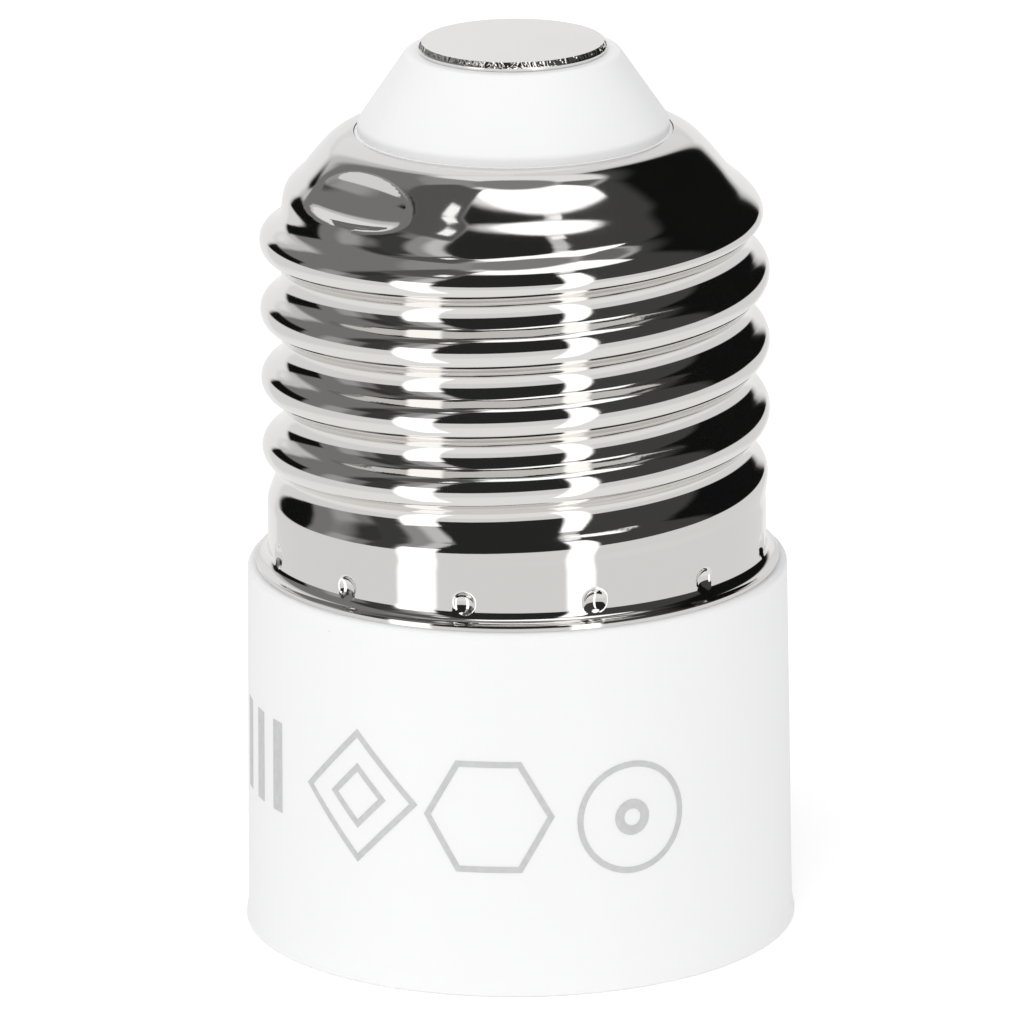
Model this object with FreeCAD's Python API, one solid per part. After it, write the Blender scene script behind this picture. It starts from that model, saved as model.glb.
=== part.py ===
import FreeCAD, Part
import math
import os

from FreeCAD import Matrix, Vector

# Screw lamp adapter: a 27 mm screw cap outside, a 14 mm screw socket inside.
# Millimetres. Z is the axis and points from the lamp's mouth to the centre contact.
# The front of the adapter is -Y. Azimuths count from the front towards +X, in degrees.
# Profiles are drawn as (radius, height) in the XZ plane and turned round the axis.

# Moulded insulator, outside
barrel_height = 19.1
barrel_ledge = 0.4
barrel_draft = 0.22
barrel_top_chamfer = 0.2
foot_flare = 0.15
foot_flare_height = 0.9
foot_chamfer = 0.1
neck_clearance = 0.3
collar_clearance = 0.1
collar_height = 2.7
nose_inset = 3.86
nose_foot_height = 0.45
nose_base_round = 0.45
nose_height = 3.67
nose_flank_angle = 34.3
nose_top_round = 0.4

# Moulded insulator, inside
mouth_radius = 9.4
mouth_depth = 7.5
mouth_chamfer = 0.5
sleeve_clearance = 0.15
sleeve_headroom = 1.9
nose_bore_clearance = 1.275
nose_web = 2.5
shank_clearance = 0.1

# Outer screw shell
shell_wall = 0.3
shell_pitch = 25.4 / 7
shell_arc = 1.025
shell_major_radius = 13.03
shell_crest_rise = 7.04
shell_lower_fade = 3.6
shell_upper_fade = 3.2
skirt_height = 2.77
shell_thread_length = 17.93
skirt_step = 0.22
lip_overhang = 0.67
flare_bend = 0.35
lip_chamfer = 0.06
dome_hole_clearance = 0.2
dome_height = 2.03
dome_edge_angle = 6.0
dome_crown_angle = 46.0
dome_crown_radius = 2.5
dome_flank_radius = 13.6
dome_neck_step = 1.22
dome_foot_radius = 2.5

# Staking dimples round the skirt
dimple_count = 12
dimple_first_azimuth = 17.6
dimple_height = 1.25
dimple_mouth_radius = 0.5
dimple_floor_radius = 0.25
dimple_depth = 0.25
stake_clearance = 0.05
stake_groove_height = 1.9

# Oval dent pressed into the dome over the link strip
dent_azimuth = -49.0
dent_angle = 52.0
dent_half_length = 6.0
dent_half_width = 1.75
dent_punch_depth = 1.4
dent_depth = 0.8
dent_clearance = 0.25

# Centre contact
contact_radius = 4.8
contact_thickness = 0.48
contact_edge_chamfer = 0.06
shank_radius = 1.5
rivet_head_radius = 2.4
rivet_head_height = 0.7
rivet_head_chamfer = 0.4

# Inner sleeve for the lamp's cap
sleeve_wall = 0.3
sleeve_major_radius = 7.05
sleeve_length = 16.9
flange_clearance = 0.8
sleeve_flange_bend = 0.5

# Spring strip from the centre contact to the lamp's tip
spring_thickness = 0.35
spring_width = 4.0
spring_bend = 0.6
spring_leg_offset = 4.05
spring_foot_reach = 2.6
spring_crown_clearance = 1.5
spring_knee_rise = 3.8
spring_tip_reach = 3.2
spring_tip_rise = 2.0
spring_crown_bend = 1.6

# Link strip from the sleeve to the shell
link_thickness = 0.3
link_width = 3.0
link_bend = 0.5
link_pad_length = 1.4
link_joggle = 1.0
link_leg_gap = 1.0
link_slot_clearance = 0.25
link_gap = 0.04
link_tail_length = 3.6

# Points on each ring that the rolled thread is drawn through, and rings in each pitch
ring_points = 48
outer_rings_a_pitch = 6
inner_rings_a_pitch = 4

# Straight chords that stand for the dome's flank and crown arcs, true to 0.02 mm
flank_chords = 2
crown_chords = 3

# Gap that is closed where turned and rolled skins meet, and the shortest straight run drawn
seam_tolerance = 1e-4
shortest_run = 1e-6

# Heights along the axis, each built on the piece below it
shell_thread_bottom = barrel_height + skirt_height
shell_thread_top = shell_thread_bottom + shell_thread_length
shell_crest_height = shell_thread_bottom + shell_crest_rise
dome_hole_height = shell_thread_top + dome_height
nose_base_height = dome_hole_height + nose_foot_height
nose_top_height = nose_base_height + nose_height
sleeve_top = mouth_depth - sleeve_wall + sleeve_length
sleeve_bore_top = sleeve_top + sleeve_headroom
spring_crown_height = sleeve_top + spring_crown_clearance
spring_knee_height = spring_crown_height + spring_knee_rise

# Radii that one piece takes from another
skirt_radius = shell_major_radius - skirt_step
lip_radius = skirt_radius + lip_overhang
barrel_top_radius = lip_radius + barrel_ledge
barrel_base_radius = barrel_top_radius + barrel_draft
dome_neck_radius = shell_major_radius - dome_neck_step
nose_base_radius = dome_neck_radius - nose_inset
sleeve_flange_radius = mouth_radius - flange_clearance
link_leg_radius = sleeve_major_radius + sleeve_wall + link_leg_gap + link_thickness / 2
nose_bore_radius = spring_leg_offset + spring_thickness / 2 + nose_bore_clearance

AXIS = Vector(0, 0, 1)
CENTRE = Vector(0, 0, 0)


def polar(radius, azimuth, height):
    turn = math.radians(azimuth)
    return Vector(radius * math.sin(turn), -radius * math.cos(turn), height)


def flat(point):
    return Vector(point[0], 0, point[1])


def normal_at(angle):
    """Outward normal of a profile whose tangent falls at this angle from level."""
    turn = math.radians(angle)
    return Vector(math.sin(turn), 0, math.cos(turn))


def rounded_path(corners, closed):
    """Straight runs and tangent arcs through corners given as (x, z, bend radius)."""
    count = len(corners)
    edges = []
    start = None
    first = None
    for index, corner in enumerate(corners):
        here = flat(corner)
        at_end = index in (0, count - 1) and not closed
        if at_end or corner[2] == 0:
            enter = here
            leave = here
        else:
            back = (flat(corners[index - 1]) - here).normalize()
            ahead = (flat(corners[(index + 1) % count]) - here).normalize()
            half = back.getAngle(ahead) / 2
            reach = corner[2] / math.tan(half)
            enter = here + back * reach
            leave = here + ahead * reach
            middle = (back + ahead).normalize()
            deepest = here + middle * (corner[2] / math.sin(half) - corner[2])
        if start is not None and start.distanceToPoint(enter) > shortest_run:
            edges.append(Part.LineSegment(start, enter).toShape())
        if enter != leave:
            edges.append(Part.Arc(enter, deepest, leave).toShape())
        if first is None:
            first = enter
        start = leave
    if closed:
        edges.append(Part.LineSegment(start, first).toShape())
    return edges


def turned_solid(corners):
    face = Part.Face(Part.Wire(rounded_path(corners, True)))
    return face.revolve(CENTRE, AXIS, 360)


def ring(inner_radius, outer_radius, bottom, top):
    outside = Part.makeCylinder(outer_radius, top - bottom, Vector(0, 0, bottom))
    inside = Part.makeCylinder(inner_radius, top - bottom, Vector(0, 0, bottom))
    return outside.cut(inside)


def strip_outline(path, thickness, bend):
    """Closed outline of a bent strip, as corners, from the points of its middle line."""
    sides = {1: [], -1: []}
    for index, point in enumerate(path):
        here = flat(point)
        before = flat(path[index - 1]) if index else None
        after = flat(path[index + 1]) if index + 1 < len(path) else None
        into = (here - before).normalize() if before else None
        out = (after - here).normalize() if after else into
        into = into or out
        left_in = Vector(-into.z, 0, into.x)
        left_out = Vector(-out.z, 0, out.x)
        shift = (left_in + left_out) * (thickness / 2 / (1 + left_in.dot(left_out)))
        turn = into.x * out.z - into.z * out.x
        own_bend = point[2] if len(point) > 2 else bend
        for side in sides:
            corner = here + shift * side
            inner = thickness / 2 * side * (1 if turn > 0 else -1)
            radius = own_bend - inner if before and after else 0
            sides[side].append((corner.x, corner.z, radius))
    return sides[1] + sides[-1][::-1]


def bent_strip(path, thickness, width, bend, azimuth):
    """A strip bent in a plane through the axis, with its width across that plane."""
    outline = strip_outline(path, thickness, bend)
    face = Part.Face(Part.Wire(rounded_path(outline, True)))
    strip = face.extrude(Vector(0, width, 0))
    strip.translate(Vector(0, -width / 2, 0))
    strip.rotate(CENTRE, AXIS, azimuth - 90)
    return strip


def fade(share):
    share = min(max(share, 0), 1)
    return share * share * (3 - 2 * share)


def rolled_radius(distance, pitch, arc, major_radius):
    """Radius of the rolled thread at an axial distance from a crest: two tangent arcs."""
    turns = distance / pitch
    distance = abs(turns - round(turns)) * pitch
    drop = arc - math.sqrt(arc**2 - (pitch / 4) ** 2)
    if distance < pitch / 4:
        return major_radius - arc + math.sqrt(arc**2 - distance**2)
    root_distance = pitch / 2 - distance
    return major_radius - 2 * drop + arc - math.sqrt(arc**2 - root_distance**2)


def skin_point(radius_at, height, azimuth, offset):
    """A point of a rolled sheet's skin, moved along its normal by an offset."""
    step = 1e-4
    slope = (radius_at(height + step, azimuth) - radius_at(height - step, azimuth)) / step / 2
    length = math.hypot(1, slope)
    radius = radius_at(height, azimuth) + offset / length
    return radius, height - offset * slope / length


def rolled_ring(radius_at, height, offset):
    """One closed ring of a rolled sheet's skin, which rises and falls with the thread."""
    around = []
    for column in range(ring_points):
        azimuth = 90 + 360 * column / ring_points
        radius, level = skin_point(radius_at, height, azimuth, offset)
        around.append(polar(radius, azimuth, level))
    knots = [float(step) for step in range(ring_points + 1)]
    curve = Part.BSplineCurve()
    curve.interpolate(Points=around, PeriodicFlag=True, Parameters=knots)
    return Part.Wire(curve.toShape())


def rolled_skin(radius_at, bottom, top, spacing, offset):
    """One skin of a rolled thread between two heights, lofted through rings at even heights."""
    rows = math.ceil((top - bottom) / spacing)
    heights = [bottom + (top - bottom) * row / rows for row in range(rows + 1)]
    return Part.makeLoft([rolled_ring(radius_at, height, offset) for height in heights], False, True).Faces


def sheet_solid(turned_wires, skins):
    """Closes turned skins and rolled skins into one sheet-metal solid."""
    faces = [face for skin in skins for face in skin]
    for edges in turned_wires:
        faces += Part.Wire(edges).revolve(CENTRE, AXIS, 360).Faces
    joined = faces[0].generalFuse(faces[1:], seam_tolerance)[0]
    joined.sewShape()
    solid = Part.Solid(joined.Shells[0])
    solid.fix(seam_tolerance, seam_tolerance, seam_tolerance)
    return solid


# Dome of the outer shell: crown, flank and foot arcs, each tangent to the next
dome_hole_radius = nose_base_radius + dome_hole_clearance
dome_edge = flat((dome_hole_radius, dome_hole_height))
crown_centre = dome_edge - normal_at(dome_edge_angle) * dome_crown_radius
flank_centre = crown_centre - normal_at(dome_crown_angle) * (dome_flank_radius - dome_crown_radius)
foot_sine = (dome_neck_radius - dome_foot_radius - flank_centre.x) / (dome_flank_radius - dome_foot_radius)
dome_foot_angle = math.degrees(math.asin(foot_sine))
foot_centre = flank_centre + normal_at(dome_foot_angle) * (dome_flank_radius - dome_foot_radius)
dome_foot_height = foot_centre.z + normal_at(dome_foot_angle).z * dome_foot_radius


def dome_radius(height):
    if height >= dome_foot_height:
        return flank_centre.x + math.sqrt(dome_flank_radius**2 - (height - flank_centre.z) ** 2)
    if height >= foot_centre.z:
        return foot_centre.x + math.sqrt(dome_foot_radius**2 - (height - foot_centre.z) ** 2)
    return dome_neck_radius


def shell_radius(height, azimuth):
    """Outer skin of the shell: the thread, fading into the skirt below and the dome above."""
    crest = shell_crest_height + shell_pitch * (azimuth + 90) / 360
    thread = rolled_radius(height - crest, shell_pitch, shell_arc, shell_major_radius)
    if height < (shell_thread_bottom + shell_thread_top) / 2:
        plain = skirt_radius
        share = fade((height - shell_thread_bottom) / shell_lower_fade)
    else:
        plain = dome_radius(height)
        share = fade((shell_thread_top - height) / shell_upper_fade)
    return plain + (thread - plain) * share


def spread(first, last, steps):
    return [first + (last - first) * step / steps for step in range(steps + 1)]


def dome_corners(offset, lower_angle):
    """Chords of the dome's two upper arcs, from the thread to the hole, moved in by an offset."""
    points = []
    for angle in spread(lower_angle, dome_crown_angle, flank_chords):
        points.append(flank_centre + normal_at(angle) * (dome_flank_radius - offset))
    for angle in spread(dome_crown_angle, dome_edge_angle, crown_chords)[1:]:
        points.append(crown_centre + normal_at(angle) * (dome_crown_radius - offset))
    return [(point.x, point.z, 0) for point in points]


def skirt_corners():
    """Skirt, flare and lip: the outer skin down to the lip and the inner skin back up."""
    inside = skirt_radius - shell_wall
    top_of_lip = barrel_height + shell_wall
    return [
        (skirt_radius, shell_thread_bottom, 0),
        (skirt_radius, top_of_lip + flare_bend, 0),
        (skirt_radius + flare_bend, top_of_lip, 0),
        (lip_radius - lip_chamfer, top_of_lip, 0),
        (lip_radius, top_of_lip - lip_chamfer, 0),
        (lip_radius, barrel_height, 0),
        (skirt_radius + flare_bend - shell_wall / 2, barrel_height, 0),
        (inside, barrel_height + flare_bend + shell_wall / 2, 0),
        (inside, shell_thread_bottom, 0),
    ]


def punch(half_length, half_width, half_depth, sink):
    """The oval punch that makes the dent: an ellipsoid set along the dome's normal."""
    ball = Part.makeSphere(1.0)
    stretch = Matrix()
    stretch.scale(half_depth, half_length, half_width)
    tool = ball.transformGeometry(stretch)
    tool.translate(Vector(half_depth - sink, 0, 0))
    tool.rotate(CENTRE, Vector(0, 1, 0), dent_angle - 90)
    seat = flank_centre + normal_at(dent_angle) * dome_flank_radius
    tool.translate(seat)
    tool.rotate(CENTRE, AXIS, dent_azimuth - 90)
    return tool


def dimple_punch(place, wall):
    """The blunt cone that a dimple is punched with, made larger all round by a wall."""
    inwards = Vector(-place.x, -place.y, 0).normalize()
    depth = dimple_depth + wall
    mouth = dimple_mouth_radius + wall
    return Part.makeCone(mouth, dimple_floor_radius + wall, depth, place, inwards)


def make_screw_shell():
    skins = []
    for offset, rings in ((0, outer_rings_a_pitch), (-shell_wall, inner_rings_a_pitch)):
        skins.append(
            rolled_skin(shell_radius, shell_thread_bottom, shell_thread_top, shell_pitch / rings, offset)
        )
    thread_angle = math.degrees(math.acos((shell_thread_top - flank_centre.z) / dome_flank_radius))
    dome = dome_corners(0, thread_angle) + dome_corners(shell_wall, thread_angle)[::-1]
    shell = sheet_solid([rounded_path(skirt_corners(), False), rounded_path(dome, False)], skins)

    # Each dimple pushes the wall in: a bump inside, then the punch's hollow outside
    bumps = []
    hollows = []
    middle = Part.makeCylinder(skirt_radius - shell_wall / 2, shell_thread_bottom)
    for number in range(dimple_count):
        azimuth = dimple_first_azimuth + 360 / dimple_count * number
        place = polar(skirt_radius, azimuth, barrel_height + dimple_height)
        bumps.append(dimple_punch(place, shell_wall).common(middle))
        hollows.append(dimple_punch(place, 0))
    shell = shell.fuse(bumps).cut(hollows)

    # The dent does the same to the dome
    back = punch(
        dent_half_length + shell_wall,
        dent_half_width + shell_wall,
        dent_punch_depth + shell_wall,
        dent_depth + shell_wall,
    )
    below_skin = turned_solid(
        [
            (0, shell_thread_top - shell_pitch, 0),
            (dome_neck_radius - shell_wall / 2, shell_thread_top - shell_pitch, 0),
            (dome_neck_radius - shell_wall / 2, foot_centre.z, 0),
            (dome_radius(shell_thread_top) - shell_wall / 2, shell_thread_top - shell_wall / 2, 0),
            (dome_hole_radius, dome_hole_height - shell_wall, 0),
            (0, dome_hole_height - shell_wall, 0),
        ]
    )
    front = punch(dent_half_length, dent_half_width, dent_punch_depth, dent_depth)
    return shell.fuse(back.common(below_skin)).cut(front)


def make_inner_sleeve():
    outside = sleeve_major_radius + sleeve_wall
    flange_low = mouth_depth - sleeve_wall
    return turned_solid(
        [
            (sleeve_major_radius, sleeve_top, 0),
            (sleeve_major_radius, flange_low + sleeve_flange_bend + sleeve_wall / 2, 0),
            (sleeve_major_radius + sleeve_flange_bend + sleeve_wall / 2, flange_low, 0),
            (sleeve_flange_radius, flange_low, 0),
            (sleeve_flange_radius, mouth_depth, 0),
            (outside + sleeve_flange_bend, mouth_depth, 0),
            (outside, mouth_depth + sleeve_flange_bend, 0),
            (outside, sleeve_top, 0),
        ]
    )


def link_path():
    """Middle line of the link strip: pad on the sleeve, joggle, leg, tail under the dent."""
    pad = sleeve_major_radius + sleeve_wall + link_gap + link_thickness / 2
    pad_low = sleeve_top - link_pad_length
    seat = flank_centre + normal_at(dent_angle) * dome_flank_radius
    depth = dent_depth + shell_wall + link_gap + link_thickness / 2
    under = seat - normal_at(dent_angle) * depth
    down = Vector(normal_at(dent_angle).z, 0, -normal_at(dent_angle).x)
    top = under + down * ((link_leg_radius - under.x) / down.x)
    tail = under + down * (link_tail_length / 2)
    return [
        (pad, pad_low),
        (pad, sleeve_top),
        (link_leg_radius, sleeve_top + link_joggle),
        (link_leg_radius, top.z),
        (tail.x, tail.z),
    ]


def make_link_strip():
    return bent_strip(link_path(), link_thickness, link_width, link_bend, dent_azimuth)


def spring_path():
    """Middle line of the spring: foot under the web, leg, and the tongue with its crown."""
    foot = nose_top_height - nose_web - spring_thickness / 2
    return [
        (-spring_foot_reach, foot),
        (spring_leg_offset, foot),
        (spring_leg_offset, spring_knee_height),
        (0, spring_crown_height, spring_crown_bend),
        (-spring_tip_reach, spring_crown_height + spring_tip_rise),
    ]


def make_contact_strip():
    strip = bent_strip(spring_path(), spring_thickness, spring_width, spring_bend, 90)
    hole = Part.makeCylinder(shank_radius, nose_top_height, Vector(0, 0, nose_bore_low()))
    return strip.cut(hole)


def nose_bore_low():
    """Halfway up the nose's bore, below the foot of the spring and above its tongue."""
    return (sleeve_bore_top + nose_top_height) / 2


def make_centre_contact():
    top = nose_top_height + contact_thickness
    head_top = nose_top_height - nose_web - spring_thickness
    head_low = head_top - rivet_head_height
    return turned_solid(
        [
            (0, head_low, 0),
            (rivet_head_radius - rivet_head_chamfer, head_low, 0),
            (rivet_head_radius, head_low + rivet_head_chamfer, 0),
            (rivet_head_radius, head_top, 0),
            (shank_radius, head_top, 0),
            (shank_radius, nose_top_height, 0),
            (contact_radius, nose_top_height, 0),
            (contact_radius, top - contact_edge_chamfer, 0),
            (contact_radius - contact_edge_chamfer, top, 0),
            (0, top, 0),
        ]
    )


def make_insulator_body():
    thread_drop = 2 * (shell_arc - math.sqrt(shell_arc**2 - (shell_pitch / 4) ** 2))
    neck_radius = shell_major_radius - thread_drop - shell_wall - neck_clearance
    collar_radius = skirt_radius - shell_wall - collar_clearance
    collar_top = barrel_height + collar_height
    inset = shell_wall + neck_clearance
    shoulder_height = dome_foot_height - inset
    nose_slope = math.tan(math.radians(nose_flank_angle))
    nose_top_radius = nose_base_radius - (nose_top_height - nose_base_height) * nose_slope
    crown = crown_centre + normal_at(dome_crown_angle) * (dome_crown_radius - inset)
    shoulder = dome_hole_height - inset
    bore_radius = sleeve_major_radius + sleeve_wall + sleeve_clearance
    web_low = nose_top_height - nose_web
    body = turned_solid(
        [
            (mouth_radius + mouth_chamfer, 0, 0),
            (barrel_base_radius + foot_flare - foot_chamfer, 0, 0),
            (barrel_base_radius + foot_flare, foot_chamfer, 0),
            (barrel_base_radius, foot_flare_height, 0),
            (barrel_top_radius, barrel_height - barrel_top_chamfer, 0),
            (barrel_top_radius - barrel_top_chamfer, barrel_height, 0),
            (collar_radius, barrel_height, 0),
            (collar_radius, collar_top, 0),
            (neck_radius, collar_top + collar_radius - neck_radius, 0),
            (neck_radius, shoulder_height, 0),
            (crown.x, crown.z, 0),
            (nose_base_radius, shoulder, 0),
            (nose_base_radius, nose_base_height, nose_base_round),
            (nose_top_radius, nose_top_height, nose_top_round),
            (shank_radius + shank_clearance, nose_top_height, 0),
            (shank_radius + shank_clearance, web_low, 0),
            (nose_bore_radius, web_low, 0),
            (nose_bore_radius, sleeve_bore_top, 0),
            (bore_radius, sleeve_bore_top, 0),
            (bore_radius, mouth_depth + sleeve_flange_bend, 0),
            (bore_radius + sleeve_flange_bend, mouth_depth, 0),
            (mouth_radius, mouth_depth, 0),
            (mouth_radius, mouth_chamfer, 0),
        ]
    )

    # Groove that the staking dimples lock into
    dimple_reach = dimple_depth + shell_wall + stake_clearance
    groove_middle = barrel_height + dimple_height
    groove_low = groove_middle - stake_groove_height / 2
    groove = ring(skirt_radius - dimple_reach, skirt_radius, groove_low, groove_low + stake_groove_height)

    # Keyway in the sleeve's bore, then a straight slot up to the shoulder, for the link strip
    slot_width = link_width + 2 * link_slot_clearance
    slot_outside = link_leg_radius + link_thickness / 2 + link_slot_clearance
    slot_inside = link_leg_radius - link_thickness / 2 - link_slot_clearance
    keyway = Part.makeBox(
        slot_outside, slot_width, sleeve_bore_top - mouth_depth, Vector(0, -slot_width / 2, mouth_depth)
    )
    slot = Part.makeBox(
        slot_outside - slot_inside,
        slot_width,
        nose_base_height - mouth_depth,
        Vector(slot_inside, -slot_width / 2, mouth_depth),
    )
    for cutter in (keyway, slot):
        cutter.rotate(CENTRE, AXIS, dent_azimuth - 90)

    # Hollow under the dent, and the pocket that the strip's folded tail lies in
    give = shell_wall + dent_clearance
    hollow = Part.makeCylinder(dent_half_width + give, 2 * (dent_half_length + give))
    hollow.translate(Vector(0, 0, -dent_half_length - give))
    hollow.rotate(CENTRE, Vector(1, 0, 0), 90)
    seat = flank_centre + normal_at(dent_angle) * dome_flank_radius
    hollow.translate(seat + normal_at(dent_angle) * (dent_half_width - dent_depth))
    hollow.rotate(CENTRE, AXIS, dent_azimuth - 90)
    pocket = bent_strip(
        link_path()[-2:], link_thickness + 2 * link_slot_clearance, slot_width, 0, dent_azimuth
    )
    return body.cut([groove, keyway, slot, hollow, pocket])


os.makedirs("parts", exist_ok=True)
pieces = {
    "insulator_body": make_insulator_body(),
    "screw_shell": make_screw_shell(),
    "centre_contact": make_centre_contact(),
    "inner_sleeve": make_inner_sleeve(),
    "contact_strip": make_contact_strip(),
    "link_strip": make_link_strip(),
}
for name, shape in pieces.items():
    shape.exportStep("parts/" + name + ".step")
    box = shape.optimalBoundingBox(False)
    print(name, len(shape.Solids), "solid", shape.isValid(), round(shape.Volume, 2), "mm3,", end=" ")
    print(round(box.XLength, 2), round(box.YLength, 2), round(box.ZMin, 2), round(box.ZMax, 2))
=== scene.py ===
import math

import bmesh
import bpy
import numpy as np
from mathutils import Matrix, Vector


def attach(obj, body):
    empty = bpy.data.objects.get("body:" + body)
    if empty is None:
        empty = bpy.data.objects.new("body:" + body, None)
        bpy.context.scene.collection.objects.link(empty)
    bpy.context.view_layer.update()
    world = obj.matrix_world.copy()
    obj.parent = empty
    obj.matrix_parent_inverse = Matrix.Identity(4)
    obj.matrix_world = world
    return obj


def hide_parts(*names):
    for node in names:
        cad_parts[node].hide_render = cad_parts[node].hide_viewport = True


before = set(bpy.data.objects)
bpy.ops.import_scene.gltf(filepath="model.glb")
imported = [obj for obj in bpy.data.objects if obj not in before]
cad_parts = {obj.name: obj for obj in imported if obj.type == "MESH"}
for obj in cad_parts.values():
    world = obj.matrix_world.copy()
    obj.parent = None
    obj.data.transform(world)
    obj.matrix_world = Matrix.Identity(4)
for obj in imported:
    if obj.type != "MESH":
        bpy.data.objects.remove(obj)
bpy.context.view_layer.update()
MM = 0.001


# Outer screw shell. Thin nickel-plated sheet, drawn to a cup with a flared lip, then rolled with
# the thread, staked with a ring of dimples and dented over the link strip.
# It stands on the barrel's ledge and its dome closes round the nose.
SHELL_WALL = 0.3 * MM
SHELL_PITCH = 25.4 / 7 * MM
SHELL_ARC = 1.025 * MM
SHELL_MAJOR = 13.03 * MM
SHELL_CREST = 28.91 * MM
SHELL_BOTTOM = 21.87 * MM
SHELL_TOP = 39.8 * MM
SHELL_LOWER_FADE = 3.6 * MM
SHELL_UPPER_FADE = 3.2 * MM
LEDGE = 19.1 * MM
SKIRT = 12.81 * MM
SKIRT_FOOT = 19.98 * MM
SKIRT_TOP = 30.8 * MM
LIP = 13.48 * MM
LIP_BREAK = 0.08 * MM
FLARE = 0.6 * MM
DOME_EDGE = Vector((8.15 * MM, 41.83 * MM))
DOME_EDGE_ANGLE = 6.0
DOME_CROWN_ANGLE = 46.0
DOME_CROWN = 2.5 * MM
DOME_FLANK = 13.6 * MM
DOME_NECK = 11.81 * MM
DOME_NECK_LOW = 30.9 * MM
DOME_FOOT = 2.5 * MM
DIMPLE_COUNT = 12
DIMPLE_FIRST = 17.6
DIMPLE_HEIGHT = 1.25 * MM
DIMPLE_RADIUS = 0.6 * MM
DIMPLE_DEPTH = 0.25 * MM
DIMPLE_BLUNTNESS = 0.8
DIMPLE_ROWS = 0.55
DIMPLE_MARGIN = 1.15
DIMPLES_END = 21.1 * MM
DENT_AZIMUTH = -49.0
DENT_ANGLE = 52.0
# Half axes of the punch that presses the dent: along it, across it and deep
DENT_HALF = Vector((6.0, 1.75, 1.4)) * MM
DENT_DEPTH = 0.8 * MM
DENT_SOFTNESS = 0.12 * MM
DENT_RISE = 8 * MM
DENT_REACH = 4 * MM
DENT_SPREAD = 1.6


def polar(radius, azimuth, height):
    """A point or a direction, with its azimuth in degrees from the front to the right."""
    turn = math.radians(azimuth)
    return Vector((radius * math.sin(turn), -radius * math.cos(turn), height))


def aim(angle):
    """Outward direction, in (radius, height), of a profile that falls at this angle from level."""
    turn = math.radians(angle)
    return Vector((math.sin(turn), math.cos(turn)))


def arc_between(centre, radius, first, last, step):
    """Points of an arc about a centre, from one outward angle to another."""
    count = max(2, math.ceil(abs(math.radians(last - first)) * radius / step))
    return [centre + aim(angle) * radius for angle in np.linspace(first, last, count + 1)]


def line_between(first, last, step):
    """Points of a straight run, no further apart than a step."""
    count = max(1, math.ceil((last - first).length / step))
    return [first.lerp(last, share) for share in np.linspace(0, 1, count + 1)]


def rounded(corners, step):
    """Points along straight runs and rounds, from corners given as (radius, height, bend)."""
    points = []
    for index, (radius, height, bend) in enumerate(corners):
        here = Vector((radius, height))
        back = Vector(corners[index - 1][:2]) - here
        ahead = Vector(corners[(index + 1) % len(corners)][:2]) - here
        if bend == 0:
            points.append(here)
            continue
        half = back.angle(ahead) / 2
        middle = (back.normalized() + ahead.normalized()).normalized()
        centre = here + middle * bend / math.sin(half)
        start = here + back.normalized() * bend / math.tan(half) - centre
        sweep = start.angle_signed(here + ahead.normalized() * bend / math.tan(half) - centre)
        count = max(2, math.ceil(abs(sweep) * bend / step))
        for share in np.linspace(0, 1, count + 1):
            points.append(centre + Matrix.Rotation(-sweep * share, 2) @ start)
    return points


def turned(name, profile, azimuths, closed=True):
    """A mesh of a profile turned round the axis. Its normals are set to point outwards."""
    columns = len(azimuths)
    turns = np.radians(azimuths)
    rows = np.array([(p.x, p.y) for p in profile])
    points = np.empty((len(rows), columns, 3))
    points[:, :, 0] = rows[:, :1] * np.sin(turns)
    points[:, :, 1] = -rows[:, :1] * np.cos(turns)
    points[:, :, 2] = rows[:, 1:]
    faces = []
    for row in range(len(rows) - (0 if closed else 1)):
        above = (row + 1) % len(rows)
        for column in range(columns):
            beside = (column + 1) % columns
            corners = [(row, column), (row, beside), (above, beside), (above, column)]
            faces.append([r * columns + c for r, c in corners])
    mesh = bpy.data.meshes.new(name)
    mesh.from_pydata(points.reshape(-1, 3).tolist(), [], faces)
    work = bmesh.new()
    work.from_mesh(mesh)
    if not closed:
        bmesh.ops.remove_doubles(work, verts=work.verts, dist=1e-7)
    bmesh.ops.recalc_face_normals(work, faces=work.faces)
    work.to_mesh(mesh)
    work.free()
    mesh.shade_smooth()
    piece = bpy.data.objects.new(name, mesh)
    bpy.context.scene.collection.objects.link(piece)
    return piece


def sharpen(piece, angle):
    """Keeps the edges sharper than an angle crisp, and smooths the rest."""
    piece.data.set_sharp_from_angle(angle=math.radians(angle))


def baked(piece):
    """Replaces a piece's mesh by what its modifiers make of it."""
    view = bpy.context.evaluated_depsgraph_get()
    mesh = bpy.data.meshes.new_from_object(piece.evaluated_get(view))
    mesh.name = piece.name
    piece.modifiers.clear()
    piece.data = mesh
    return piece


def reckon(tree, operation, first, second=0.0):
    """One step of arithmetic in a node tree."""
    node = tree.nodes.new("ShaderNodeMath")
    node.operation = operation
    for socket, value in zip(node.inputs, (first, second)):
        if isinstance(value, bpy.types.NodeSocket):
            tree.links.new(value, socket)
        else:
            socket.default_value = value
    return node.outputs[0]


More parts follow.
